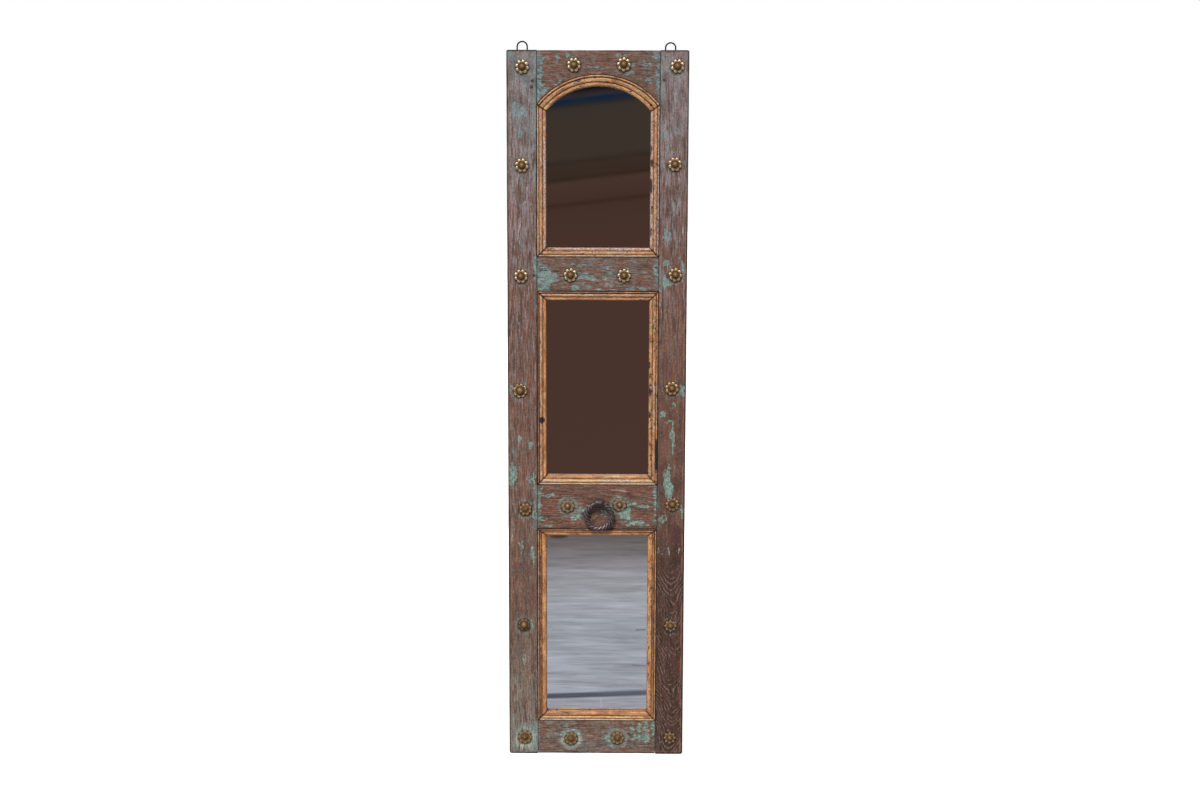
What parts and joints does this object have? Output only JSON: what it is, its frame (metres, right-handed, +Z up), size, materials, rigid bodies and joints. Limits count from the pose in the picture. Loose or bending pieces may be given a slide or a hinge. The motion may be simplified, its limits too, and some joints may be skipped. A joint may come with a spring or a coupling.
{
  "type": "shutter mirror",
  "caption": "Tall narrow wall mirror in an old wooden shutter: an arched pane over plain ones, stepped mouldings, cast flowers, ring pull and hanging loops.",
  "frame": {"origin": "middle of the bottom edge, on the underside of the bottom rail at half the frame's thickness", "axes": "+Z up along the height, +X to the viewer's right, +Y to the back, so the decorated face looks along -Y"},
  "size_m": [0.457, 0.0683, 1.846],
  "materials": {
    "stile_wood": "worn grey-brown paint over old wood with blue-green traces, rough",
    "rail_wood": "rubbed red-brown old wood with blue-green paint left in patches, rough",
    "moulding_wood": "waxed golden brown wood with dark grooves, semi-matt",
    "mirror": "silvered glass",
    "backing": "bare plywood",
    "brass": "old cast brass, rubbed bright on the high points and dark in the hollows",
    "iron": "forged iron, dark purple-grey, rubbed on the edges",
    "wire": "blackened steel wire, satin",
    "zinc": "zinc-plated steel",
    "peg": "dark end grain"
  },
  "bodies": {
    "frame": {"stile_left": "stile_wood", "stile_right": "stile_wood", "bottom_rail": "rail_wood", "lower_mid_rail": "rail_wood", "upper_mid_rail": "rail_wood", "top_rail": "rail_wood", "peg_top_left_upper": "peg", "peg_top_left_lower": "peg", "peg_top_right": "peg", "peg_upper_mid_left": "peg", "mirror_upper": "mirror", "backing_upper": "backing", "mirror_middle": "mirror", "backing_middle": "backing", "mirror_lower": "mirror", "backing_lower": "backing", "moulding_upper_left": "moulding_wood", "moulding_upper_right": "moulding_wood", "moulding_upper_bottom": "moulding_wood", "moulding_upper_arch": "moulding_wood", "moulding_middle_left": "moulding_wood", "moulding_middle_top": "moulding_wood", "moulding_middle_right": "moulding_wood", "moulding_middle_bottom": "moulding_wood", "moulding_lower_left": "moulding_wood", "moulding_lower_top": "moulding_wood", "moulding_lower_right": "moulding_wood", "moulding_lower_bottom": "moulding_wood", "flower_1a": "brass", "flower_1b": "brass", "flower_1c": "brass", "flower_1d": "brass", "flower_2a": "brass", "flower_2d": "brass", "flower_3a": "brass", "flower_3b": "brass", "flower_3c": "brass", "flower_3d": "brass", "flower_4a": "brass", "flower_4d": "brass", "flower_5a": "brass", "flower_5b": "brass", "flower_5c": "brass", "flower_5d": "brass", "flower_6a": "brass", "flower_6d": "brass", "flower_7a": "brass", "flower_7b": "brass", "flower_7c": "brass", "flower_7d": "brass", "ring_staple": "iron", "hanger_strap_left": "zinc", "hanger_screw_left_1": "zinc", "hanger_screw_left_2": "zinc", "hanger_strap_right": "zinc", "hanger_screw_right_1": "zinc", "hanger_screw_right_2": "zinc"},
    "ring": {"ring_pull": "iron"},
    "loop_left": {"hanger_loop_left": "wire"},
    "loop_right": {"hanger_loop_right": "wire"}
  },
  "joints": [
    {"name": "ring_swing", "type": "hinge", "parent": "frame", "child": "ring", "pos_m": [0.0065, -0.0293, 0.6742], "axis": [-1, 0, 0], "range_deg": [-3, 176]},
    {"name": "left_loop_fold", "type": "hinge", "parent": "frame", "child": "loop_left", "pos_m": [-0.1905, 0.02315, 1.8081], "axis": [1, 0, 0], "range_deg": [-170, 6]},
    {"name": "right_loop_fold", "type": "hinge", "parent": "frame", "child": "loop_right", "pos_m": [0.1825, 0.02315, 1.8056], "axis": [1, 0, 0], "range_deg": [-170, 6]}
  ]
}
